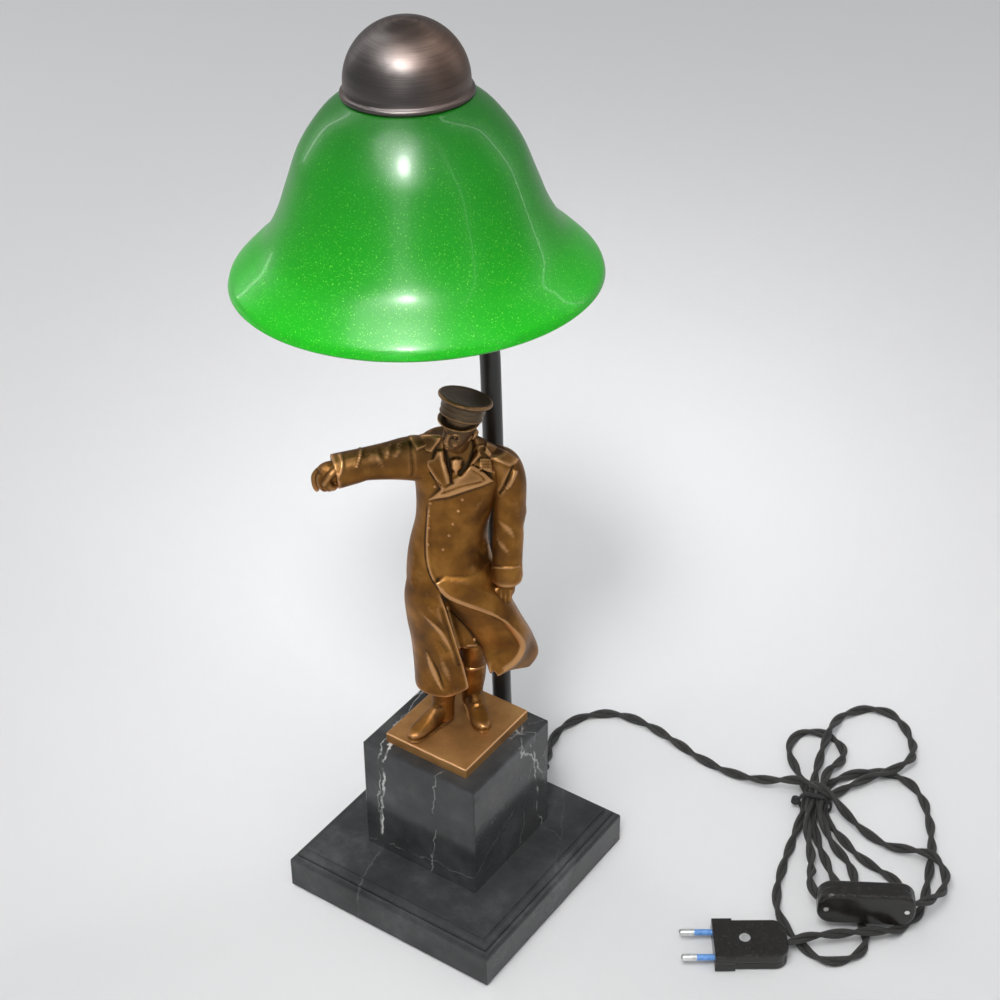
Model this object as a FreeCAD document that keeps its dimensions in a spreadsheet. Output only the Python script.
import FreeCAD, Part
import math
import os
import re
import Sketcher
from FreeCAD import Placement, Rotation, Vector

# A figural table lamp. Millimetres, +Z up, -Y is the lamp's front. The origin is the centre of the
# square foot on the table. A stone foot and plinth carry a bronze figure on its plate, a bent tube
# rises behind it to the bell shade, and a twisted flex with a switch and a plug leaves at the back.

UP = Vector(0, 0, 1)
TURN = 360

SIZES = {
    # Felt sheet, square stone foot with its moulded edge, and what is cut into its underside
    "felt_thickness": 1.2,
    "felt_inset": 3.0,
    "foot_width": 140.0,
    "foot_height": 28.1,
    "side_height": 19.85,
    "bead_radius": 3.3,
    "step_width": 0.7,
    "cove_radius": 3.0,
    "arris_drop": 0.75,
    "recess_radius": 13.0,
    "recess_depth": 20.0,
    # Plinth block and the plate that the figure is cast with
    "plinth_width": 77.0,
    "plinth_depth": 75.0,
    "plinth_height": 76.7,
    "plinth_x": 0.7,
    "plinth_y": 0.2,
    "plinth_arris": 0.9,
    "plate_width": 55.4,
    "plate_depth": 61.5,
    "plate_thickness": 6.1,
    "plate_x": 0.8,
    "plate_y": 1.4,
    "plate_arris": 0.6,
    # Rod that clamps the foot, the plinth and the plate together, with its nut and washer
    "rod_radius": 3.0,
    "rod_grip": 4.5,
    "rod_clearance": 0.3,
    "nut_flats": 10.0,
    "nut_height": 5.0,
    "washer_radius": 8.5,
    "washer_thickness": 1.6,
    # Bronze figure: where it stands on its plate, and its cap
    "figure_x": 2.0,
    "figure_y": 4.0,
    "figure_turn": 34.7,
    "head_x": 1.0,
    "head_y": 2.0,
    "head_z": 190.0,
    "head_turn": 35.0,
    "head_bow": 10.0,
    "head_roll": 16.0,
    "neck_thickness": 6.2,
    "brim_height": 12.6,
    "brim_radius": 11.4,
    "brim_thickness": 1.2,
    "brim_reach": 6.0,
    "brim_drop": 22.0,
    "band_radius": 11.4,
    "band_height": 5.0,
    "crown_flare": 14.5,
    "crown_edge": 1.8,
    "crown_rise": 9.2,
    # Bent tube, its collar and its threaded ends
    "tube_radius": 5.5,
    "tube_wall": 1.0,
    "tube_x": 0.8,
    "tube_y": 47.6,
    "tube_knee_z": 62.0,
    "tube_waist_y": 37.8,
    "tube_waist_z": 340.0,
    "tube_bend_radius": 70.0,
    "tube_top_run": 42.0,
    "collar_radius": 9.5,
    "collar_height": 4.0,
    "nipple_bore": 3.4,
    "nipple_grip": 18.0,
    "nipple_clearance": 0.25,
    "ring_nut_radius": 7.5,
    "ring_nut_height": 3.0,
    # Where the shade's rim is, and how the whole head leans
    "rim_x": 0.0,
    "rim_y": -22.5,
    "rim_z": 412.2,
    "lean_left": 3.1,
    "lean_back": 2.25,
    # Bell shade: outside radius at each height over the rim
    "glass_wall": 3.0,
    "rim_radius": 90.3,
    "lip_height": 4.4,
    "lip_radius": 88.6,
    "flare_height": 11.5,
    "flare_radius": 81.8,
    "curl_height": 21.3,
    "curl_radius": 71.9,
    "waist_height": 33.7,
    "waist_radius": 64.8,
    "side_rise": 48.7,
    "side_radius": 59.1,
    "shoulder_height": 66.5,
    "shoulder_radius": 52.0,
    "crown_height": 82.0,
    "crown_radius": 41.0,
    "ledge_height": 90.3,
    "ledge_radius": 31.0,
    "neck_radius": 28.0,
    "neck_rise": 3.7,
    # Dome cap over the shade's neck
    "cap_radius": 29.6,
    "cap_wall": 1.2,
    "cap_skirt": 6.4,
    "cap_bead": 1.7,
    "cap_bead_rise": 1.8,
    "bridge_width": 10.0,
    "bridge_thickness": 2.0,
    "bridge_rise": 20.3,
    # Gallery plate inside the shade, which carries glass and lampholder
    "gallery_height": 73.0,
    "gallery_thickness": 2.0,
    "gasket_width": 3.0,
    "gasket_height": 3.0,
    "seat_gap": 0.1,
    "tube_offset": 30.0,
    # Lampholder and bulb
    "holder_radius": 14.0,
    "holder_wall": 1.0,
    "holder_foot": 68.0,
    "holder_flange": 16.5,
    "holder_dome": 12.0,
    "holder_hang": 1.0,
    "holder_ring_radius": 17.5,
    "holder_ring_height": 3.6,
    "core_bore": 7.9,
    "seat_over_tip": 1.0,
    "sleeve_wall": 0.5,
    "screw_cap_radius": 7.0,
    "screw_cap_length": 20.5,
    "tip_radius": 2.2,
    "tip_height": 91.0,
    "bulb_radius": 22.5,
    "bulb_foot": 13.0,
    "bulb_wall": 0.9,
    # Flex
    "flex_radius": 2.7,
    "lead_radius": 2.3,
    "lead_bend": 6.5,
    "lead_end_offset": 11.5,
    "lead_end_rise": 3.0,
    "gland_length": 23.0,
    "gland_z": 8.6,
    "gland_radius": 4.0,
    "gland_flange": 5.5,
    "gland_flange_thickness": 2.0,
    "gland_tip": 3.3,
    "tie_x": 155.4,
    "tie_y": 158.6,
    "tie_turn": 17.3,
    "tie_width": 3.0,
    "tie_thickness": 1.2,
    "tie_half_span": 9.3,
    "tie_height": 12.7,
    "tie_bead_radius": 2.6,
    # In-line switch
    "switch_x": 222.3,
    "switch_y": 91.4,
    "switch_foot": 6.0,
    "switch_turn": 31.0,
    "switch_length": 56.0,
    "switch_height": 23.0,
    "switch_depth": 13.0,
    "switch_corner": 9.0,
    "switch_edge": 2.0,
    "switch_wall": 1.7,
    "rocker_length": 20.0,
    "rocker_height": 10.0,
    "rocker_gap": 0.8,
    "rocker_rise": 2.4,
    "rocker_hollow": 45.0,
    "rocker_tilt": 7.0,
    "axle_radius": 1.2,
    "axle_gap": 0.05,
    "axle_depth": 3.2,
    "post_width": 4.6,
    "terminal_spread": 17.0,
    "terminal_width": 6.0,
    "terminal_height": 8.0,
    "switch_screw_spread": 23.0,
    "switch_screw_radius": 1.5,
    # Two-pin plug
    "plug_x": 161.1,
    "plug_y": 24.0,
    "plug_turn": 34.75,
    "plug_length": 42.0,
    "plug_body": 28.0,
    "plug_flange": 31.0,
    "plug_flange_length": 11.6,
    "plug_thickness": 11.5,
    "plug_corner": 8.0,
    "plug_edge": 1.2,
    "plug_wall": 2.2,
    "pin_height": 5.75,
    "pin_radius": 2.0,
    "pin_length": 19.0,
    "pin_spacing": 19.0,
    "pin_root": 9.0,
    "pin_block": 7.0,
    "sleeve_length": 10.0,
    "sleeve_radius": 1.8,
    "sleeve_thickness": 0.3,
    "plug_screw_x": 17.8,
    "plug_screw_radius": 3.2,
    "plug_screw_head": 2.4,
    "plug_screw_stem": 1.5,
}

doc = FreeCAD.newDocument("figural_table_lamp")
sheet = doc.addObject("Spreadsheet::Sheet", "Sizes")
pieces = {}


def fill_sheet():
    for row, (name, number) in enumerate(SIZES.items(), 1):
        sheet.set(f"A{row}", name)
        sheet.set(f"B{row}", str(number))
        sheet.setAlias(f"B{row}", name)
    doc.recompute()


def derive(name, number):
    """Puts a size that follows from others on the sheet under its own name."""
    row = len(SIZES) + 1
    SIZES[name] = number
    sheet.set(f"A{row}", name)
    sheet.set(f"B{row}", repr(number))
    sheet.setAlias(f"B{row}", name)
    doc.recompute()


def bound(text):
    """A formula in the sheet's names, as an object's expression."""
    return re.sub(r"[a-z_]{3,}", lambda m: f"Sizes.{m[0]}" if m[0] in SIZES else m[0], str(text))


def mm(text):
    return float(sheet.evalExpression(bound(text)))


def keep(label, piece, place=None):
    """Makes an object the sub-part of that name, where place says."""
    piece.Label = label
    if place is not None:
        piece.Placement = place
    pieces[label] = piece
    return piece


# ---- Ways of making a piece


def primitive(kind, place=None, at=("0", "0", "0"), **sizes):
    """A Part primitive with its sizes and its position, unless at is None, bound to the sheet."""
    piece = doc.addObject(f"Part::{kind}", kind)
    for name, text in sizes.items():
        piece.setExpression(name, bound(text))
    for axis, text in zip("xyz", at or ()):
        piece.setExpression(f".Placement.Base.{axis}", bound(text))
    if place is not None:
        piece.Placement.Rotation = place
    return piece


def cylinder(radius, low, high, x="0", y="0"):
    return primitive("Cylinder", at=(x, y, low), Radius=radius, Height=f"({high}) - ({low})")


def box(x, y, z, dx, dy, dz):
    """A box centred on x and y that stands on z."""
    at = (f"({x}) - ({dx}) / 2", f"({y}) - ({dy}) / 2", z)
    return primitive("Box", at=at, Length=dx, Width=dy, Height=dz)


def fuse(*parts):
    piece = doc.addObject("Part::MultiFuse", "Fuse")
    piece.Shapes = list(parts)
    piece.Refine = False
    return piece


def cut(base, *tools):
    piece = doc.addObject("Part::Cut", "Cut")
    piece.Base = base
    piece.Tool = tools[0] if len(tools) == 1 else fuse(*tools)
    piece.Refine = False
    return piece


def common(*parts):
    piece = doc.addObject("Part::MultiCommon", "Common")
    piece.Shapes = list(parts)
    piece.Refine = False
    return piece


def side_arc(start, end, radius, side):
    """Centre and angles of the arc between two points, its centre on the left (1) or right (-1)."""
    dx, dy = end[0] - start[0], end[1] - start[1]
    chord = math.hypot(dx, dy)
    rise = math.sqrt(max(radius**2 - chord**2 / 4, 0)) * side / chord
    x = (start[0] + end[0]) / 2 - dy * rise
    y = (start[1] + end[1]) / 2 + dx * rise
    first = math.atan2(start[1] - y, start[0] - x)
    last = math.atan2(end[1] - y, end[0] - x)
    return Vector(x, y, 0), first, last


def draw(sketch, outline):
    """Draws a closed outline whose corners and radii are bound to the sheet.

    Each entry is a corner (x, y), reached by a line, or (x, y, radius, side), reached by an arc.
    """
    corners = [(mm(entry[0]), mm(entry[1])) for entry in outline]
    ends = []
    for number, entry in enumerate(outline):
        start, end = corners[number - 1], corners[number]
        if len(entry) == 2:
            line = Part.LineSegment(Vector(*start, 0), Vector(*end, 0))
            ends.append((sketch.addGeometry(line, False), 1, 2))
            continue
        radius, side = mm(entry[2]), entry[3]
        centre, first, last = side_arc(start, end, radius, side)
        if side < 0:
            first, last = last, first
        if last < first:
            last += 2 * math.pi
        arc = Part.ArcOfCircle(Part.Circle(centre, UP, radius), first, last)
        ends.append((sketch.addGeometry(arc, False), 1, 2) if side > 0 else (sketch.addGeometry(arc, False), 2, 1))
        tie = sketch.addConstraint(Sketcher.Constraint("Radius", ends[-1][0], radius))
        sketch.setExpression(f"Constraints[{tie}]", bound(entry[2]))
    for number, entry in enumerate(outline):
        edge, _, end = ends[number]
        following, start, _ = ends[(number + 1) % len(outline)]
        sketch.addConstraint(Sketcher.Constraint("Coincident", edge, end, following, start))
        for kind, text, number_now in zip(("DistanceX", "DistanceY"), entry[:2], corners[number]):
            tie = sketch.addConstraint(Sketcher.Constraint(kind, edge, end, number_now))
            sketch.setExpression(f"Constraints[{tie}]", bound(text))


def sketched(role, outline, offset=None):
    """A body with a closed sketch on one of its origin planes."""
    body = doc.addObject("PartDesign::Body", "Body")
    plane = [feature for feature in body.Origin.OriginFeatures if feature.Role == role][0]
    sketch = body.newObject("Sketcher::SketchObject", "Outline")
    sketch.AttachmentSupport = [(plane, "")]
    sketch.MapMode = "FlatFace"
    draw(sketch, outline)
    if offset is not None:
        sketch.setExpression(".AttachmentOffset.Base.z", bound(offset))
    return body, sketch


def turned(outline):
    """A body of revolution about Z from an outline of radius and height."""
    body, sketch = sketched("XZ_Plane", outline)
    revolution = body.newObject("PartDesign::Revolution", "Revolution")
    revolution.Profile = sketch
    revolution.ReferenceAxis = (sketch, ["V_Axis"])
    revolution.Angle = TURN
    return body


def padded(role, outline, length, offset=None, midplane=False):
    """A body padded from an outline on an origin plane."""
    body, sketch = sketched(role, outline, offset)
    pad = body.newObject("PartDesign::Pad", "Pad")
    pad.Profile = sketch
    pad.setExpression("Length", bound(length))
    pad.Midplane = midplane
    doc.recompute()
    return body


def edges_where(body, test):
    """Names of the tip's edges for which a test on the edge holds."""
    return [f"Edge{number}" for number, edge in enumerate(body.Tip.Shape.Edges, 1) if test(edge)]


def dressed(body, kind, size, test):
    """Rounds (Fillet) or bevels (Chamfer) the edges of a body that pass the test."""
    before, names = body.Tip, edges_where(body, test)
    feature = body.newObject(f"PartDesign::{kind}", kind)
    feature.Base = (before, names)
    feature.setExpression("Radius" if kind == "Fillet" else "Size", bound(size))
    doc.recompute()
    return body


def block(width, depth, height, arris, low):
    """A ground block on z = low, bevelled round its top and down its corners."""
    half_x, half_y = f"({width}) / 2", f"({depth}) / 2"
    corners = [(half_x, f"-{half_y}"), (half_x, half_y), (f"-{half_x}", half_y), (f"-{half_x}", f"-{half_y}")]
    body = padded("XY_Plane", corners, height, low)
    top = mm(f"({low}) + ({height})")
    foot = mm(low)

    def outer(edge):
        heights = [vertex.Point.z for vertex in edge.Vertexes]
        return min(heights) > top - 0.01 or (min(heights) < foot + 0.01 and max(heights) > top - 0.01)

    return dressed(body, "Chamfer", arris, outer)


def rounded_plate(length, height, corner, thickness, low):
    """A plate with rounded corners that lies in X and Z and is low to low + thickness deep in -Y."""
    half_x, half_z = f"({length}) / 2", f"({height}) / 2"
    inner_x, inner_z = f"({half_x} - ({corner}))", f"({half_z} - ({corner}))"
    outline = [
        (inner_x, f"-{half_z}"),
        (half_x, f"-{inner_z}", corner, 1),
        (half_x, inner_z),
        (inner_x, half_z, corner, 1),
        (f"-{inner_x}", half_z),
        (f"-{half_x}", inner_z, corner, 1),
        (f"-{half_x}", f"-{inner_z}"),
        (f"-{inner_x}", f"-{half_z}", corner, 1),
    ]
    return padded("XZ_Plane", outline, thickness, low)


def shaped(label, solid, place=None):
    """A sub-part whose shape is worked out directly, for lofts and for tubes along a route."""
    piece = doc.addObject("Part::Feature", label)
    piece.Shape = solid
    return keep(label, piece, place)


# ---- Routes: straight runs joined by tangent arcs


def route_wire(route):
    """The wire along a route, and the radius of each of its arcs.

    An arc is as large as its two runs allow, 0.45 of the shorter one each side, or as the radius that
    a point carries as its fourth number.
    """
    points = [Vector(*point[:3]) for point in route]
    edges, radii = [], []
    here = points[0]
    for number in range(1, len(points) - 1):
        before, corner, after = points[number - 1 : number + 2]
        back, ahead = (before - corner).normalize(), (after - corner).normalize()
        half = math.pi / 2 - back.getAngle(ahead) / 2
        reach = 0.45 * min(before.distanceToPoint(corner), after.distanceToPoint(corner))
        if len(route[number]) > 3:
            reach = min(reach, route[number][3] * math.tan(half))
        bend = reach / math.tan(half)
        start, end = corner + back * reach, corner + ahead * reach
        inward = (back + ahead).normalize()
        middle = corner + inward * (bend / math.cos(half) - bend)
        edges += [Part.LineSegment(here, start).toShape(), Part.Arc(start, middle, end).toShape()]
        radii.append(bend)
        here = end
    edges.append(Part.LineSegment(here, points[-1]).toShape())
    return Part.Wire(edges), radii


def swept(wire, radius):
    """A round bar along a wire."""
    start = wire.Edges[0]
    begin = start.valueAt(start.FirstParameter)
    ring = Part.Wire([Part.Circle(begin, start.tangentAt(start.FirstParameter), radius).toShape()])
    return wire.makePipeShell([ring], True, False)


def least_gap(wire, radius):
    """The least gap between turns of a tube that lie apart along it."""
    step = radius
    points = wire.discretize(Distance=step)
    skip = round(4 * math.pi * radius / step)
    near = [
        points[i].distanceToPoint(points[j])
        for i in range(len(points))
        for j in range(i + skip, len(points))
        if abs(points[i].x - points[j].x) < 4 * radius and abs(points[i].y - points[j].y) < 4 * radius
    ]
    return min(near, default=math.inf) - 2 * radius


def flex(label, route):
    """A length of flex along a route, with its radii, volume and least gap to itself printed."""
    radius = mm("flex_radius")
    wire, radii = route_wire(route)
    solid = swept(wire, radius)
    ideal = math.pi * radius**2 * wire.Length
    print(f"{label}: length {wire.Length:.0f} mm, volume {solid.Volume / ideal:.4f} of section x length")
    print(f"  radii {' '.join(f'{bend:.0f}' for bend in radii)}; least gap {least_gap(wire, radius):.2f} mm")
    return shaped(label, solid)


# ---- Stone foot, plinth, figure plate and the rod that holds them


def foot_and_plinth():
    keep("base_felt", box("0", "0", "0", "foot_width - 2 * felt_inset", "foot_width - 2 * felt_inset", "felt_thickness"))
    half = "foot_width / 2"
    bead_x, bead_z = f"({half} - bead_radius)", "(side_height + bead_radius)"
    cove_x, cove_z = f"({bead_x} - step_width)", "(foot_height - arris_drop - cove_radius)"
    right = [
        (half, "felt_thickness"),
        (half, "side_height"),
        (bead_x, bead_z, "bead_radius", 1),
        (bead_x, cove_z),
        (cove_x, cove_z),
        (f"({cove_x} - cove_radius)", f"({cove_z} + cove_radius)", "cove_radius", -1),
        (f"({cove_x} - cove_radius)", "foot_height"),
    ]
    left = []
    for number, entry in enumerate(reversed(right)):
        before = right[len(right) - number] if number else None
        curved = before is not None and len(before) == 4
        left.append((f"-{entry[0]}", entry[1]) + (before[2:] if curved else ()))
    slab_x = padded("XZ_Plane", right + left, "foot_width", midplane=True)
    slab_y = padded("YZ_Plane", right + left, "foot_width", midplane=True)
    recess_top = "felt_thickness + recess_depth"
    keep(
        "base_plate",
        cut(
            common(slab_x, slab_y),
            cylinder("recess_radius", "0", recess_top, "tube_x", "tube_y"),
            cylinder("recess_radius", "0", recess_top, "plate_x", "plate_y"),
            cylinder("nipple_radius + nipple_clearance", "0", "foot_height + 1", "tube_x", "tube_y"),
            cylinder("rod_radius + rod_clearance", "0", "foot_height + 1", "plate_x", "plate_y"),
            gland_hole("gland_radius", "tube_y", "foot_width"),
        ),
    )
    stone = block("plinth_width", "plinth_depth", "plinth_height", "plinth_arris", "foot_height")
    stone.setExpression(".Placement.Base.x", bound("plinth_x"))
    stone.setExpression(".Placement.Base.y", bound("plinth_y"))
    through = cylinder("rod_radius + rod_clearance", "0", "plinth_top + 1", "plate_x", "plate_y")
    keep("plinth", cut(stone, through))
    slab = block("plate_width", "plate_depth", "plate_thickness", "plate_arris", "plinth_top")
    slab.setExpression(".Placement.Base.x", bound("plate_x"))
    slab.setExpression(".Placement.Base.y", bound("plate_y"))
    rod_top = "plinth_top + rod_grip"
    keep("figure_plate", cut(slab, cylinder("rod_radius", "plinth_top - 1", rod_top, "plate_x", "plate_y")))
    rod_foot = f"{recess_top} - washer_thickness - nut_height - 1.5"
    keep("fixing_rod", cylinder("rod_radius", rod_foot, rod_top, "plate_x", "plate_y"))
    washer = cylinder("washer_radius", f"{recess_top} - washer_thickness", recess_top, "plate_x", "plate_y")
    nut = primitive(
        "Prism",
        at=("plate_x", "plate_y", f"{recess_top} - washer_thickness - nut_height"),
        Circumradius="nut_flats / sqrt(3)",
        Height="nut_height",
    )
    nut.Polygon = 6
    bore = cylinder("rod_radius", "0", "foot_height", "plate_x", "plate_y")
    keep("rod_nut_and_washer", cut(fuse(washer, nut), bore))


def gland_hole(radius, low, high):
    """A bar along +Y on the gland's axis, from y = low to y = high."""
    along_y = Rotation(Vector(1, 0, 0), -90)
    return primitive(
        "Cylinder", along_y, ("tube_x", low, "gland_z"), Radius=radius, Height=f"({high}) - ({low})"
    )


# ---- Bronze figure
#
# The castings are lofted through rings. Each row of a table is one ring in the figure's own axes
# (X to its left, -Y before it, Z up from its plate): middle x, y, z, half width, half depth and, on
# the skirts, how deep the cloth's folds are as a share of the ring.

COAT = [
    (0, 8, 25, 24, 18, 0.055),
    (1.5, 8, 51, 25, 18, 0.045),
    (-0.5, 7, 74, 26, 17.5, 0.035),
    (-4, 6, 99, 25, 17, 0.02),
    (-5, 6, 113, 22.5, 16, 0.01),
    (-5, 6, 125, 21, 15, 0),
    (-2.5, 5.5, 140, 20.5, 14.5, 0),
    (0.5, 5, 157, 23, 15, 0),
    (2, 4.5, 169, 26, 14.2, 0),
    (1, 5, 178, 25, 12, 0),
    (-3, 6, 185, 20.5, 9, 0),
    (-5, 6.5, 189.5, 16, 6.5, 0),
    (-5, 6.5, 191.5, 13.5, 4.5, 0),
]
FRONT_FLAP = [
    (-2, -10, 34, 9, 2.4),
    (4, -11, 44, 17, 3),
    (8, -12, 53, 21, 3.2),
    (8, -12.5, 63, 25, 3.4),
    (3.5, -13, 76, 22, 3.4),
    (-2, -12, 87, 18, 3.2),
    (-8, -10.5, 96, 11, 3),
    (-14, -9, 104, 3, 2.5),
]
BACK_SKIRT = [
    (27, 17, 20, 5, 3),
    (29, 17.5, 27, 9, 3.6),
    (30, 18, 37, 12.5, 4),
    (27, 17, 49, 13, 4.5),
    (22, 16, 63, 12, 4.5),
    (17, 14, 79, 9, 4),
]
RAISED_SLEEVE = [
    (-10, 5, 174, 10, 12),
    (-23, 4, 176, 9.5, 13),
    (-36, 1, 176.5, 8.5, 10.8),
    (-48, -2, 178, 8, 9),
    (-61, -5.5, 176.8, 8.6, 9.6),
    (-63.5, -6, 176.6, 8.6, 9.4),
]
RAISED_HAND = [
    (-60, -5.5, 176.4, 4, 4.6),
    (-65, -6.4, 176, 4, 5.4),
    (-70, -7.4, 175.6, 4, 6.2),
    (-74, -8.2, 176, 3.2, 5),
    (-77, -8.8, 177, 2, 3),
]
LOWERED_SLEEVE = [
    (26, -3.5, 102, 8.6, 8.8),
    (26, -3, 108, 8.7, 8.9),
    (26.5, -1, 122, 8.2, 8.5),
    (27, 1, 136, 8.7, 9),
    (27.5, 2, 150, 9, 9.5),
    (27, 2, 166, 9.4, 9.6),
    (24, 3, 177, 8.6, 9),
    (20, 3.5, 182, 6, 6),
]
LOWERED_HAND = [
    (23.5, -5, 86.5, 2.6, 2.4),
    (24, -4.5, 91, 4.8, 3.8),
    (25, -4, 97, 5.4, 4),
    (25.5, -3.5, 104, 5, 3.6),
]
RIGHT_SHAFT = [(-10, 1, 3, 6.4, 7.2), (-10, 2, 12, 6.6, 6.8), (-9.5, 3, 22, 7.5, 7.5), (-9, 3, 34, 8, 8)]
LEFT_SHAFT = [(6, 14, 3, 6.4, 7.2), (6, 13.5, 12, 6.6, 6.8), (6.5, 13, 22, 7.5, 7.5), (6.5, 12, 34, 8, 8)]
# A foot lies along its own length: distance from the heel, half width and height of each ring
FOOT = [(0, 3.4, 5.5), (4, 5.2, 8.5), (12, 5.8, 9.5), (20, 6, 7.2), (26, 5.4, 5.4), (30, 3.4, 3.8), (31.5, 1.4, 2.2)]
RIGHT_HEEL, RIGHT_TOE = (-7.4, 5), (-28.3, -18)
LEFT_HEEL, LEFT_TOE = (4.7, 19), (12.6, -9.9)
# The head in its own axes, from the chin to the crown
SKULL = [
    (0, -6.4, -2, 2.8, 2.6),
    (0, -5.2, 0.5, 5, 5),
    (0, -3, 4, 6.8, 7.8),
    (0, -1, 8.5, 7.9, 9.8),
    (0, 0, 13, 8.4, 10.2),
    (0, 0.2, 17.5, 8.2, 9.8),
    (0, 0.2, 20, 6.8, 8),
    (0, 0.2, 21.6, 4, 5),
]
NOSE = [(0, -9, 4.6, 1.8, 2.6), (0, -9.4, 6.6, 1.6, 2.8), (0, -8.8, 11, 1, 2.2)]


def ring(centre, normal, across, wide, deep, fold=0.0):
    """A smooth closed ring: an oval, or one with eight waves round it where cloth hangs in folds."""
    count = 48 if fold else 16
    side = normal.cross(across)
    points = []
    for step in range(count):
        angle = 2 * math.pi * step / count
        reach = 1 + fold * math.cos(8 * angle)
        points.append(centre + across * (wide * reach * math.cos(angle)) + side * (deep * reach * math.sin(angle)))
    curve = Part.BSplineCurve()
    curve.interpolate(points, PeriodicFlag=True)
    return Part.Wire([curve.toShape()])


def lofted(rows, across=None):
    """A solid through upright rings, or through rings square to the line of their middles."""
    middles = [Vector(*row[:3]) for row in rows]
    folded = any(len(row) > 5 and row[5] for row in rows)
    rings = []
    for number, row in enumerate(rows):
        normal, wide = UP, Vector(1, 0, 0)
        if across is not None:
            before, after = middles[max(number - 1, 0)], middles[min(number + 1, len(rows) - 1)]
            normal = (after - before).normalize()
            wide = (across - normal * across.dot(normal)).normalize()
        fold = max(row[5], 1e-4) if folded else 0
        rings.append(ring(middles[number], normal, wide, row[3], row[4], fold))
    return Part.makeLoft(rings, True, False)


def figure_place():
    foot = Vector(mm("figure_x"), mm("figure_y"), mm("plinth_top + plate_thickness"))
    return Placement(foot, Rotation(UP, mm("figure_turn")))


def casting(rows, across=None):
    """A lofted casting as an object of the document, in the figure's own axes."""
    piece = doc.addObject("Part::Feature", "Casting")
    piece.Shape = lofted(rows, across)
    return piece


def foot_rows(heel, toe):
    heel, toe = Vector(*heel, 0), Vector(*toe, 0)
    along = (toe - heel).normalize()
    return [tuple(heel + along * far) + (high, wide) for far, wide, high in FOOT]


def figure():
    place, sideways = figure_place(), Vector(0, 1, 0)
    keep("figure_coat", casting(COAT), place)
    coat = casting(COAT)
    keep("figure_back_skirt", cut(casting(BACK_SKIRT), coat), place)
    keep("figure_front_flap", cut(casting(FRONT_FLAP), coat), place)
    raised, lowered = casting(RAISED_SLEEVE, sideways), casting(LOWERED_SLEEVE)
    keep("figure_sleeve_raised", cut(raised, coat), place)
    keep("figure_hand_raised", cut(casting(RAISED_HAND, sideways), raised), place)
    keep("figure_sleeve_lowered", cut(lowered, coat), place)
    keep("figure_hand_lowered", cut(cut(casting(LOWERED_HAND), lowered), coat), place)
    under = box("0", "0", "-plinth_height", "foot_width", "foot_width", "plinth_height")
    for label, shaft, heel, toe in (
        ("figure_boot_right", RIGHT_SHAFT, RIGHT_HEEL, RIGHT_TOE),
        ("figure_boot_left", LEFT_SHAFT, LEFT_HEEL, LEFT_TOE),
    ):
        boot = fuse(casting(shaft), casting(foot_rows(heel, toe), UP))
        keep(label, cut(boot, coat, under), place)
    head_and_cap(place, coat)


def head_and_cap(place, coat):
    turn = Rotation(Vector(0, 1, 0), mm("head_roll")) * Rotation(UP, -mm("head_turn"))
    turn = turn * Rotation(Vector(1, 0, 0), mm("head_bow"))
    at = Placement(Vector(mm("head_x"), mm("head_y"), mm("head_z")), turn)
    skull, nose = casting(SKULL), casting(NOSE)
    neck = primitive("Cylinder", at=None, Radius="neck_thickness", Height="3 * neck_thickness")
    neck.Placement = Placement(Vector(0, 1, -2 * mm("neck_thickness")), Rotation())
    head = fuse(skull, nose, neck)
    head.Placement = at
    crown = [
        ("0", "brim_height"),
        ("band_radius", "brim_height"),
        ("band_radius", "brim_height + band_height"),
        ("crown_flare - crown_edge", "brim_height + crown_rise"),
        ("crown_flare", "brim_height + crown_rise + crown_edge", "crown_edge", 1),
        ("crown_flare - crown_edge", "brim_height + crown_rise + 2 * crown_edge", "crown_edge", 1),
        ("0", "brim_height + crown_rise + 2 * crown_edge + 0.8"),
    ]
    brim = primitive("Cylinder", at=None, Radius="brim_radius", Height="brim_thickness")
    tilt = Rotation(Vector(1, 0, 0), mm("brim_drop"))
    brim.Placement = Placement(Vector(0, -mm("brim_reach"), mm("brim_height") + 0.4), tilt)
    cap = fuse(turned(crown), brim)
    mould = doc.addObject("Part::Feature", "CapMould")
    doc.recompute()
    mould.Shape = cap.Shape
    mould.Placement = at
    trimmed = cut(cut(head, coat), mould)
    doc.recompute()
    shaped("figure_head", max(trimmed.Shape.Solids, key=lambda solid: solid.Volume), place)
    keep("figure_cap", cap, place * at)


# ---- Tube from the foot to the head


def head_place():
    """Where the shade's rim is, and the head's own axes, which lean a little."""
    lean = Rotation(Vector(1, 0, 0), -mm("lean_back")) * Rotation(Vector(0, 1, 0), -mm("lean_left"))
    return Placement(Vector(mm("rim_x"), mm("rim_y"), mm("rim_z")), lean)


def in_head(y, z):
    """A point over the middle of the rim in the head's own axes, in the lamp's."""
    return tuple(head_place().multVec(Vector(0, y, z)))


def tube_route(low, high):
    """The tube's line between two heights: low over the table, high over the rim on the head's axes."""
    bend = (mm("tube_bend_radius"),)
    offset = mm("tube_offset")
    return [
        (mm("tube_x"), mm("tube_y"), low),
        (mm("tube_x"), mm("tube_y"), mm("tube_knee_z")) + bend,
        (mm("rim_x"), mm("tube_waist_y"), mm("tube_waist_z")) + bend,
        in_head(offset, mm("gallery_height - tube_top_run")) + bend,
        in_head(offset, high),
    ]


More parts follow.
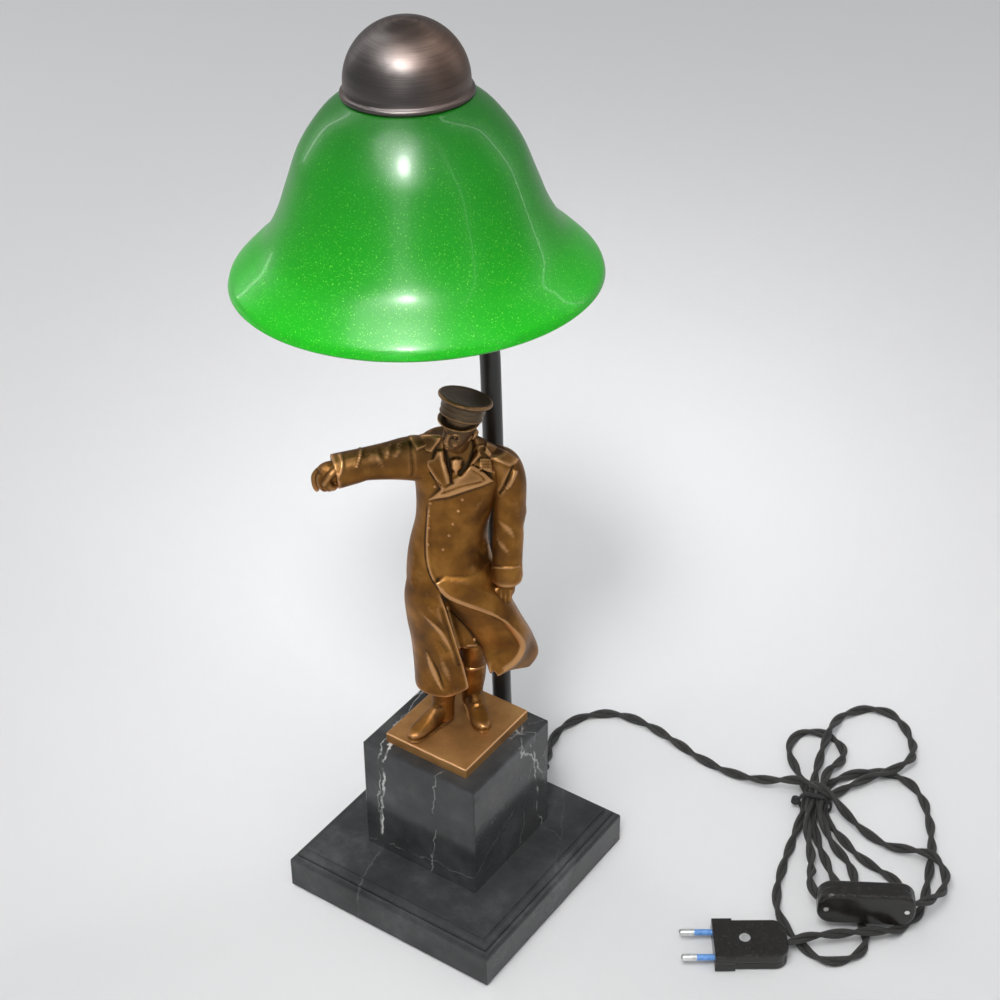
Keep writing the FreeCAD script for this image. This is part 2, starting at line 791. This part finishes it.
def tube_and_ends():
    radius, wall = mm("tube_radius"), mm("tube_wall")
    wire, _ = route_wire(tube_route(mm("foot_height + collar_height"), mm("gallery_height")))
    shaped("pole_tube", swept(wire, radius).cut(swept(wire, radius - wall)))
    collar = [
        ("nipple_radius", "foot_height"),
        ("collar_radius", "foot_height"),
        ("collar_radius", "foot_height + collar_height / 2"),
        ("tube_radius + 0.5", "foot_height + collar_height"),
        ("nipple_radius", "foot_height + collar_height"),
    ]
    at_tube = Placement(Vector(mm("tube_x"), mm("tube_y"), 0), Rotation())
    keep("pole_collar", turned(collar), at_tube)
    seat = "felt_thickness + recess_depth"
    low = f"{seat} - washer_thickness - ring_nut_height - 1"
    high = "foot_height + collar_height + nipple_grip"
    keep(
        "foot_nipple",
        cut(cylinder("nipple_radius", low, high, "tube_x", "tube_y"), cylinder("nipple_bore", "0", high, "tube_x", "tube_y")),
    )
    nut = cylinder("ring_nut_radius", f"{seat} - washer_thickness - ring_nut_height", seat, "tube_x", "tube_y")
    flange = cylinder("washer_radius", f"{seat} - washer_thickness", seat, "tube_x", "tube_y")
    keep("foot_ring_nut", cut(fuse(nut, flange), cylinder("nipple_radius", "0", "foot_height", "tube_x", "tube_y")))
    head = head_place()
    top = "gallery_height + gallery_thickness + ring_nut_height"
    keep(
        "top_nipple",
        cut(
            cylinder("nipple_radius", "gallery_height - nipple_grip", f"{top} + 1", "0", "tube_offset"),
            cylinder("nipple_bore", "0", "ledge_height", "0", "tube_offset"),
        ),
        head,
    )
    top_nut = cylinder("ring_nut_radius", "gallery_height + gallery_thickness", top, "0", "tube_offset")
    keep("top_ring_nut", cut(top_nut, cylinder("nipple_radius", "0", "ledge_height", "0", "tube_offset")), head)


def inner_lead():
    """The flex inside the lamp: from the gland through the foot and the tube to the lampholder."""
    bend = (mm("lead_bend"),)
    tube = tube_route(mm("gland_z"), mm("gallery_height + gallery_thickness + ring_nut_height + 3"))
    beside = mm("holder_radius + 2 * lead_radius + 0.5")
    route = [(mm("tube_x"), mm("foot_width / 2 + gland_length"), mm("gland_z")), tube[0] + bend]
    route += tube[1:-1] + [tube[-1] + bend]
    route += [in_head(beside, mm("ledge_height")) + bend, in_head(beside, mm("holder_top - 2")) + bend]
    route.append(in_head(mm("lead_end_offset"), mm("lead_end_height")))
    wire, _ = route_wire(route)
    shaped("inner_lead", swept(wire, mm("lead_radius")))


# ---- Bell shade, dome cap and the gallery that carries them


def shade_curve(inset):
    """The bell's outline at a depth inset inside its outer face, from the rim to the ledge."""
    names = ("lip", "flare", "curl", "waist", "side", "shoulder", "crown", "ledge")
    heights = [0.0] + [mm("side_rise" if name == "side" else f"{name}_height") for name in names]
    radii = [mm("rim_radius")] + [mm(f"{name}_radius") for name in names]
    curve = Part.BSplineCurve()
    curve.interpolate([Vector(radius, 0, height) for radius, height in zip(radii, heights)])
    if not inset:
        return curve
    points = []
    for radius, height in zip(radii, heights):
        along = curve.tangent(curve.parameter(Vector(radius, 0, height)))[0]
        points.append(Vector(radius, 0, height) + Vector(-along.z, 0, along.x).normalize() * inset)
    points[0].z = 0.0
    inner = Part.BSplineCurve()
    inner.interpolate(points)
    return inner


def shade_bore(height):
    """The radius inside the bell at a height over its rim."""
    inner = shade_curve(mm("glass_wall"))
    low, high = inner.FirstParameter, inner.LastParameter
    for _ in range(60):
        middle = (low + high) / 2
        if inner.value(middle).z < height:
            low = middle
        else:
            high = middle
    return inner.value(low).x


def bell_shade(head):
    wall = mm("glass_wall")
    outer, inner = shade_curve(0), shade_curve(wall)
    neck, top = mm("neck_radius"), mm("neck_height")
    ledge = outer.EndPoint
    under = inner.EndPoint
    corners = [
        ledge,
        Vector(neck, 0, ledge.z),
        Vector(neck, 0, top),
        Vector(neck - wall, 0, top),
        Vector(neck - wall, 0, under.z),
        under,
    ]
    edges = [outer.toShape()]
    edges += [Part.LineSegment(a, b).toShape() for a, b in zip(corners, corners[1:])]
    edges.append(inner.toShape())
    rim = (outer.StartPoint + inner.StartPoint) * 0.5 - Vector(0, 0, wall / 2)
    edges.append(Part.Arc(inner.StartPoint, rim, outer.StartPoint).toShape())
    face = Part.Face(Part.Wire(Part.__sortEdges__(edges)))
    shaped("shade_glass", face.revolve(Vector(0, 0, 0), UP, TURN), head)


def dome_and_bridge(head):
    inner = "cap_radius - cap_wall"
    outline = [
        ("cap_radius", "ledge_height"),
        ("cap_radius", "cap_centre"),
        ("0", "cap_centre + cap_radius", "cap_radius", 1),
        ("0", f"cap_centre + {inner}"),
        (inner, "cap_centre", inner, -1),
        (inner, "ledge_height"),
    ]
    bead = primitive("Torus", at=("0", "0", "cap_bead_height"), Radius1="cap_radius", Radius2="cap_bead")
    hollow = cylinder(inner, "ledge_height - 1", "cap_centre")
    keep("dome_cap", cut(fuse(turned(outline), bead), hollow), head)
    bar = box("0", "0", "bridge_height", "2 * cap_radius", "bridge_width", "bridge_thickness")
    ball = primitive("Sphere", at=("0", "0", "cap_centre"), Radius=inner)
    hole = cylinder("nipple_radius", "holder_top", "bridge_height + cap_radius")
    keep("cap_bridge", cut(common(bar, ball), hole), head)
    low, high = "holder_top + holder_dome - 6", "bridge_height + bridge_thickness + 1.5"
    bore = cylinder("nipple_bore", low, high)
    keep("cap_nipple", cut(cylinder("nipple_radius", low, high), bore), head)


def gallery(head):
    top = "gallery_height + gallery_thickness"
    disc = cylinder("gallery_radius", "gallery_height", top)
    holder_hole = cylinder("holder_radius + nipple_clearance", "0", "ledge_height")
    tube_hole = cylinder("nipple_radius + 0.1", "0", "ledge_height", "0", "tube_offset")
    keep("gallery_plate", cut(disc, holder_hole, tube_hole), head)
    low = "gallery_height - (gasket_height - gallery_thickness) / 2"
    ring = cylinder("gallery_radius + gasket_width - 1", low, f"{low} + gasket_height")
    inside = cylinder("gallery_radius - 1", "0", "ledge_height")
    keep("gallery_gasket", cut(ring, inside, cylinder("gallery_radius", "gallery_height", top)), head)


# ---- Lampholder and bulb


def lampholder(head):
    plate_top = "gallery_height + gallery_thickness"
    inner = "holder_radius - holder_wall"
    shell = [
        ("holder_radius", "holder_foot"),
        ("holder_radius", plate_top),
        ("holder_flange", plate_top),
        ("holder_flange", f"{plate_top} + 1.6"),
        ("holder_radius", f"{plate_top} + 3"),
        ("holder_radius", "holder_top"),
        (inner, "holder_top"),
        (inner, "holder_foot"),
    ]
    keep("holder_shell", turned(shell), head)
    ring = [
        ("holder_radius", "gallery_height - holder_ring_height"),
        ("holder_ring_radius - 1", "gallery_height - holder_ring_height"),
        ("holder_ring_radius", "gallery_height - 1"),
        ("holder_ring_radius", "gallery_height"),
        ("holder_radius", "gallery_height"),
    ]
    keep("holder_ring", turned(ring), head)
    core = [
        ("core_bore", "holder_foot + 1"),
        (f"{inner} - seat_gap", "holder_foot + 1"),
        (f"{inner} - seat_gap", "holder_top"),
        ("tip_radius", "holder_top"),
        ("tip_radius", "core_seat"),
        ("core_bore", "core_seat"),
    ]
    keep("holder_core", turned(core), head)
    sleeve = cylinder("core_bore", "holder_foot + 2", "core_seat")
    keep("holder_sleeve", cut(sleeve, cylinder("core_bore - sleeve_wall", "0", "neck_height")), head)
    contact = [("0", "tip_height"), ("tip_radius", "tip_height"), ("tip_radius", "holder_top"), ("0", "holder_top")]
    keep("holder_contact", turned(contact), head)
    hub = "nipple_radius"
    dome = [
        (hub, "holder_top + holder_dome"),
        (f"{hub} + 2", "holder_top + holder_dome"),
        (f"{hub} + 3", "holder_top + holder_dome - 3"),
        ("holder_radius", "holder_top", "holder_radius", 1),
        (inner, "holder_top"),
        (hub, "holder_top + holder_dome - 6", f"{inner} - 1", -1),
    ]
    lead_hole = Placement(Vector(0, mm("lead_end_offset"), mm("lead_end_height")), lead_turn())
    hole = doc.addObject("Part::Cylinder", "LeadHole")
    hole.setExpression("Radius", bound("lead_radius + 0.2"))
    hole.Height = 2 * mm("holder_wall + lead_radius")
    hole.Placement = lead_hole * Placement(Vector(0, 0, -mm("lead_radius")), Rotation())
    keep("holder_cap", cut(turned(reversed_outline(dome)), hole), head)


def lead_turn():
    """The direction of the lead's last run, out of the lampholder's cap."""
    beside = mm("holder_radius + 2 * lead_radius + 0.5")
    return Rotation(UP, Vector(0, beside - mm("lead_end_offset"), mm("holder_top - 2 - lead_end_height")))


def reversed_outline(outline):
    """The same closed outline, drawn the other way round."""
    corners = [entry[:2] for entry in outline]
    count = len(outline)
    result = []
    for number in range(count - 1, -1, -1):
        following = outline[(number + 1) % count]
        bend = (following[2], -following[3]) if len(following) == 4 else ()
        result.append(corners[number] + bend)
    return result


def bulb(head):
    neck_foot = "tip_height - screw_cap_length - 2"
    screw = [
        ("screw_cap_radius - 0.4", neck_foot),
        ("screw_cap_radius", neck_foot),
        ("screw_cap_radius", f"{neck_foot} + screw_cap_length - 4"),
        ("tip_radius + 1", f"{neck_foot} + screw_cap_length"),
        ("tip_radius", "tip_height"),
        ("0", "tip_height"),
        ("0", "tip_height - 3"),
        ("screw_cap_radius - 0.4", f"{neck_foot} + screw_cap_length - 5"),
    ]
    keep("bulb_cap", turned(screw), head)
    shaped("bulb_glass", bulb_ball(), head)


def bulb_ball():
    """A ball with a drawn neck, thin-walled, closed at the foot and open inside its screw cap."""
    radius, foot, neck = mm("bulb_radius"), mm("bulb_foot"), mm("tip_height - screw_cap_length - 2")
    edges, ends = [], []
    for inset in (0, mm("bulb_wall")):
        ball, centre, shoulder = radius - inset, foot + radius, math.radians(40)
        start = Vector(0, 0, centre - ball)
        side = Vector(ball * math.cos(shoulder / 8), 0, centre + ball * math.sin(shoulder / 8))
        top = Vector(ball * math.cos(shoulder), 0, centre + ball * math.sin(shoulder))
        end = Vector(mm("screw_cap_radius") - 0.5 - inset, 0, neck)
        drawn = Part.BSplineCurve()
        drawn.interpolate([top, (top + end) * 0.5 - Vector(0.8, 0, 0), end])
        edges += [Part.Arc(start, side, top).toShape(), drawn.toShape()]
        ends += [start, end]
    edges += [Part.LineSegment(ends[0], ends[2]).toShape(), Part.LineSegment(ends[1], ends[3]).toShape()]
    face = Part.Face(Part.Wire(Part.__sortEdges__(edges)))
    return face.revolve(Vector(0, 0, 0), UP, TURN)


# ---- Flex outside the lamp: gland, two lengths and the tie

LAMP_TO_SWITCH = [
    (-6, 108, 5), (-14, 126, 2.8), (-11, 147, 2.8), (5, 165, 2.8), (28, 168, 2.8), (51, 164, 2.8),
    (75, 158, 2.8), (98, 157, 2.8), (120, 159, 7), (138, 163, 14.8), (151, 164.5, 16.2),
    (163, 163, 15.8), (176, 159, 9), (192, 156, 3.6), (208, 154, 2.8), (222, 155, 8),
    (236, 157, 9.4), (247, 149, 7.5), (252, 137, 8), (252.5, 124, 12), (250.5, 113, 16.5),
]
SWITCH_TO_PLUG = [
    (190.5, 85, 17), (185, 96, 13), (179, 110, 6.5), (170.9, 123.9, 4.3), (161.7, 136.3, 6.2),
    (154.7, 150.4, 9.5), (149.3, 167.6, 9.4), (142.8, 183.9, 6.5), (138, 200, 7.6),
    (134, 215, 9.4), (131, 232, 8.1), (131, 248, 2.8), (140, 262, 2.8), (156, 266, 2.8),
    (171, 256, 2.8), (182, 242, 4.5), (188, 227, 8.8), (183, 211, 9.1), (171, 199, 5.5),
    (164, 186, 3.6), (158.1, 170.5, 4.2), (163.5, 153.4, 4), (177.2, 147.2, 2.8),
    (191, 139, 2.8), (206, 134, 2.8), (222, 132, 2.8), (235, 124, 2.8), (236, 109, 2.8),
    (225, 100.5, 2.8), (212, 106, 2.8), (203.5, 118, 2.8), (194, 129.5, 2.8), (179.9, 134.8, 3.7),
    (160.5, 152.2, 9.6), (154.9, 169.6, 9.9), (149.2, 184.1, 9.6), (149, 198, 4.8),
    (150, 211, 2.8), (141, 221, 2.8), (128, 224, 2.8), (116, 218, 2.8), (113.5, 204, 2.8),
    (121, 191, 2.8), (134, 180, 3.2), (146.6, 166.8, 4.1), (152, 149.6, 4.1), (156, 133, 2.8),
    (160, 116, 2.8), (164.3, 99.5, 2.8), (170, 83, 2.8), (177, 71, 2.8), (187, 62, 2.8),
    (198.6, 56.1, 2.8), (211.1, 50.6, 2.8), (223, 53, 2.8), (231, 63, 2.8), (232.5, 76, 2.8),
    (225, 87, 2.8), (212.6, 95.2, 2.8), (198, 107, 2.8), (184.1, 120.1, 2.8), (168.3, 136.2, 2.8),
    (157.8, 151.5, 4), (152.3, 168.6, 4.2), (153, 184, 3.2), (160, 200, 2.8), (174, 212, 2.8),
    (192, 214, 2.8), (208, 203, 2.8), (220, 186, 2.8), (229.8, 168, 2.8), (236.8, 149.2, 2.8),
    (243, 131, 2.8), (247, 115, 2.8), (244, 100, 2.8), (240.5, 89.5, 6.5), (232, 81.5, 9.1),
    (221, 73, 8.2), (211, 64, 8.7), (202.4, 54.9, 9.7),
]


def switch_place():
    middle = Vector(mm("switch_x"), mm("switch_y"), mm("switch_foot + switch_height / 2"))
    return Placement(middle, Rotation(UP, mm("switch_turn")))


def plug_place():
    return Placement(Vector(mm("plug_x"), mm("plug_y"), 0), Rotation(UP, mm("plug_turn")))


def gland_and_flex():
    face = "foot_width / 2"
    tip = f"{face} + gland_length"
    inside = gland_hole("gland_radius", "tube_y + lead_bend", face)
    flange = gland_hole("gland_flange", face, f"{face} + gland_flange_thickness")
    taper = primitive(
        "Cone",
        Rotation(Vector(1, 0, 0), -90),
        ("tube_x", f"{face} + gland_flange_thickness", "gland_z"),
        Radius1="gland_radius + 0.5",
        Radius2="gland_tip",
        Height="gland_length - gland_flange_thickness",
    )
    keep("cord_gland", cut(fuse(inside, flange, taper), gland_hole("lead_radius", "0", tip)))
    switch, plug = switch_place(), plug_place()
    start = (mm("tube_x"), mm(tip), mm("gland_z"))
    enter = switch.multVec(Vector(mm("switch_length / 2 - 1"), 0, 0))
    leave = switch.multVec(Vector(mm("1 - switch_length / 2"), 3.5, 0))
    end = plug.multVec(Vector(mm("plug_length"), 0, 6.5))
    flex("cord_lamp_to_switch", [start] + LAMP_TO_SWITCH + [tuple(enter)])
    flex("cord_switch_to_plug", [tuple(leave)] + SWITCH_TO_PLUG + [tuple(end)])


def bundle_tie():
    """A strap round the five strands, with its round lock at one side."""
    half, thick = "tie_half_span", "tie_thickness"
    loops = []
    for grow in ("0", thick):
        low, top = f"({thick} - {grow})", f"(tie_height + {grow})"
        bend = f"(({top} - {low}) / 2)"
        reach = f"({half} + {grow})"
        inner = f"({reach} - {bend})"
        outline = [
            (inner, low),
            (reach, f"({low} + {bend})", bend, 1),
            (inner, top, bend, 1),
            (f"-{inner}", top),
            (f"-{reach}", f"({low} + {bend})", bend, 1),
            (f"-{inner}", low, bend, 1),
        ]
        loops.append(padded("XZ_Plane", outline, "tie_width", midplane=True))
    at = (f"-({half} + {thick} + tie_bead_radius * 0.6)", "-tie_width / 2", "tie_height / 2")
    bead = primitive("Cylinder", Rotation(Vector(1, 0, 0), -90), at, Radius="tie_bead_radius", Height="tie_width")
    strap = cut(fuse(loops[1], bead), loops[0])
    keep("cord_tie", strap, Placement(Vector(mm("tie_x"), mm("tie_y"), 0), Rotation(UP, mm("tie_turn"))))


# ---- Switch


def half_shell(back):
    """One half of the switch's casing, split down the middle of its depth."""
    depth, wall = "switch_depth / 2", "switch_wall"
    low = "-switch_depth / 2" if back else "0"
    outer = rounded_plate("switch_length", "switch_height", "switch_corner", depth, low)
    face = mm(depth) * (1 if back else -1)
    dressed(outer, "Fillet", "switch_edge", lambda edge: all(abs(v.Point.y - face) < 0.01 for v in edge.Vertexes))
    inner_low = f"-switch_depth / 2 + {wall}" if back else "0"
    inner = rounded_plate(
        f"switch_length - 2 * {wall}",
        f"switch_height - 2 * {wall}",
        f"switch_corner - {wall}",
        f"{depth} - {wall}",
        inner_low,
    )
    return cut(outer, inner)


def switch():
    place = switch_place()
    depth, pivot = "switch_depth / 2", "(switch_depth / 2 - axle_depth)"
    screws = []
    bosses = []
    along_y = Rotation(Vector(1, 0, 0), -90)
    for side in ("", "-"):
        at = (f"{side}switch_screw_spread", f"-{depth}", "0")
        screws.append(primitive("Cylinder", along_y, at, Radius="switch_screw_radius", Height="switch_depth - switch_wall"))
        at = (f"{side}switch_screw_spread", f"switch_wall / 2 - {depth}", "0")
        bosses.append(primitive("Cylinder", along_y, at, Radius="2 * switch_screw_radius", Height=f"switch_depth - switch_wall"))
    front_half = box("0", f"-{depth} / 2", "-switch_height / 2", "switch_length", depth, "switch_height")
    back_half = box("0", f"{depth} / 2", "-switch_height / 2", "switch_length", depth, "switch_height")
    front = fuse(half_shell(False), common(fuse(*bosses), front_half))
    keep("switch_shell_front", cut(front, *screws), place)
    post_height = "(switch_height - rocker_height) / 2 - rocker_gap - switch_wall / 2"
    posts = [
        box("0", f"{pivot} / 2 + axle_radius", f"rocker_height / 2 + rocker_gap / 2", "post_width", f"{pivot} + axle_radius", post_height),
        box("0", f"{pivot} / 2 + axle_radius", f"-rocker_height / 2 - rocker_gap / 2 - ({post_height})", "post_width", f"{pivot} + axle_radius", post_height),
    ]
    window = box("0", depth, "-rocker_height / 2 - rocker_gap / 2", "rocker_length + 2 * rocker_gap", f"4 * switch_wall", "rocker_height + rocker_gap")
    axle_hole = cylinder("axle_radius + axle_gap", "-rocker_height", "rocker_height", "0", pivot)
    back = fuse(half_shell(True), common(fuse(*bosses), back_half), *posts)
    keep("switch_shell_back", cut(back, window, axle_hole, *screws), place)
    keep("switch_screws", fuse(*screws), place)
    rocker(place, pivot)
    blocks = []
    for side in ("", "-"):
        at_x = f"{side}terminal_spread * 0.7"
        block_now = box(at_x, f"switch_wall - {depth} + 2", "-terminal_height / 2", "terminal_width", "4", "terminal_height")
        blocks.append(block_now)
    keep("switch_terminals", fuse(*blocks), place)


def rocker(place, pivot):
    """The rocker with its axle, in its rest tilt, in a hinge frame at the middle of the axle."""
    reach = "rocker_length / 2"
    face = "(axle_depth + rocker_rise)"
    skirt = "(axle_depth - switch_wall - 0.6)"
    profile = [
        (f"-({reach} - 0.6)", skirt),
        ("-axle_radius * 2", f"-axle_radius"),
        ("axle_radius * 2", f"-axle_radius"),
        (f"({reach} - 0.6)", skirt),
        (f"({reach} - 0.3)", face),
        (f"-({reach} - 0.3)", face, "rocker_hollow", 1),
    ]
    cap = padded("XY_Plane", profile, "rocker_height", midplane=True)
    axle = cylinder("axle_radius", "-rocker_height / 2 - 2.4", "rocker_height / 2 + 2.4")
    at = Placement(Vector(0, mm(pivot), 0), Rotation(UP, mm("rocker_tilt")))
    keep("switch_rocker", fuse(cap, axle), place * at)


# ---- Plug


def plug():
    place = plug_place()
    half = "plug_thickness / 2"
    wide, narrow, bend = "plug_flange / 2", "plug_body / 2", "plug_corner"
    halves = []
    for low in ("0", half):
        outline = [
            ("0", f"-{wide}"),
            ("plug_flange_length", f"-{wide}"),
            ("plug_flange_length", f"-{narrow}"),
            (f"plug_length - {bend}", f"-{narrow}"),
            ("plug_length", f"({bend} - {narrow})", bend, 1),
            ("plug_length", f"({narrow} - {bend})"),
            (f"plug_length - {bend}", narrow, bend, 1),
            ("plug_flange_length", narrow),
            ("plug_flange_length", wide),
            ("0", wide),
        ]
        body = padded("XY_Plane", outline, half, low)
        level = 0 if low == "0" else mm("plug_thickness")
        dressed(body, "Fillet", "plug_edge", lambda edge: all(abs(v.Point.z - level) < 0.01 for v in edge.Vertexes))
        halves.append(body)
    hollow = box(
        "(plug_length + pin_root) / 2",
        "0",
        "plug_wall",
        "plug_length - pin_root - 2 * plug_wall",
        "plug_body - 2 * plug_wall",
        "plug_thickness - 2 * plug_wall",
    )
    post = cylinder("2 * plug_screw_stem + 0.5", "0", half, "plug_screw_x", "0")
    stem = cylinder("plug_screw_stem", "plug_wall / 2", "plug_thickness", "plug_screw_x", "0")
    head = cylinder("plug_screw_radius", "plug_thickness - plug_screw_head", "plug_thickness", "plug_screw_x", "0")
    tower = cylinder("plug_screw_radius + 1.2", half, "plug_thickness - plug_wall / 2", "plug_screw_x", "0")
    along_x = Rotation(Vector(0, 1, 0), 90)
    cord_hole = primitive("Cylinder", along_x, ("plug_length - 2 * plug_wall", "0", "pin_height + 0.75"), Radius="lead_radius", Height="3 * plug_wall")
    cores, rings = [], []
    for side in ("", "-"):
        at = f"{side}pin_spacing / 2"
        core = primitive("Cylinder", along_x, ("-sleeve_length", at, "pin_height"), Radius="sleeve_radius - sleeve_thickness", Height="sleeve_length + pin_root")
        blade = primitive("Cylinder", along_x, ("pin_radius - pin_length", at, "pin_height"), Radius="pin_radius", Height="pin_length - sleeve_length - pin_radius")
        tip = primitive("Sphere", at=("pin_radius - pin_length", at, "pin_height"), Radius="pin_radius")
        lug = box("pin_root + pin_block / 2 - 3", at, "pin_height - 2.6", "pin_block", "5.2", "5.2")
        cores.append(fuse(core, blade, tip, lug))
        ring = primitive("Cylinder", along_x, ("-sleeve_length", at, "pin_height"), Radius="sleeve_radius", Height="sleeve_length + pin_root - 3")
        bore = primitive("Cylinder", along_x, ("-sleeve_length - 1", at, "pin_height"), Radius="sleeve_radius - sleeve_thickness", Height="sleeve_length + pin_root + 2")
        rings.append(cut(ring, bore))
    pins, sleeves = fuse(*cores), fuse(*rings)
    lower = fuse(cut(halves[0], hollow), post)
    upper = fuse(cut(halves[1], hollow), tower)
    keep("plug_body", cut(lower, stem, cord_hole, pins, sleeves), place)
    keep("plug_cover", cut(upper, stem, head, cord_hole, pins, sleeves), place)
    keep("plug_pins", pins, place)
    keep("pin_sleeves", sleeves, place)
    keep("plug_screw", fuse(stem, head), place)


fill_sheet()
derive("nipple_radius", mm("tube_radius - tube_wall"))
derive("plinth_top", mm("foot_height + plinth_height"))
derive("neck_height", mm("ledge_height + neck_rise"))
derive("cap_bead_height", mm("ledge_height + cap_bead_rise"))
derive("cap_centre", mm("ledge_height + cap_skirt"))
derive("bridge_height", mm("cap_centre + bridge_rise"))
derive("holder_top", mm("bridge_height - holder_hang - holder_dome"))
derive("lead_end_height", mm("holder_top + lead_end_rise"))
derive("core_seat", mm("tip_height + seat_over_tip"))
derive("gallery_radius", shade_bore(mm("gallery_height + gallery_thickness + 0.5")) - mm("gasket_width - 1 + seat_gap"))
HEAD = head_place()
foot_and_plinth()
figure()
tube_and_ends()
inner_lead()
bell_shade(HEAD)
dome_and_bridge(HEAD)
gallery(HEAD)
lampholder(HEAD)
bulb(HEAD)
gland_and_flex()
bundle_tie()
switch()
plug()

doc.recompute()
os.makedirs("parts", exist_ok=True)
for stale in doc.Objects:
    if {"Invalid", "Error"} & set(stale.State):
        raise RuntimeError(f"{stale.Name} {stale.Label} failed: {stale.State}")
for name, piece in pieces.items():
    if piece.Shape.isNull() or not piece.Shape.isValid():
        raise RuntimeError(f"{name} is not a valid solid")
    print(f"{name:22s} {len(piece.Shape.Solids)} solid(s) {piece.Shape.Volume / 1000:9.2f} cm3")
    piece.Shape.exportStep(f"parts/{name}.step")
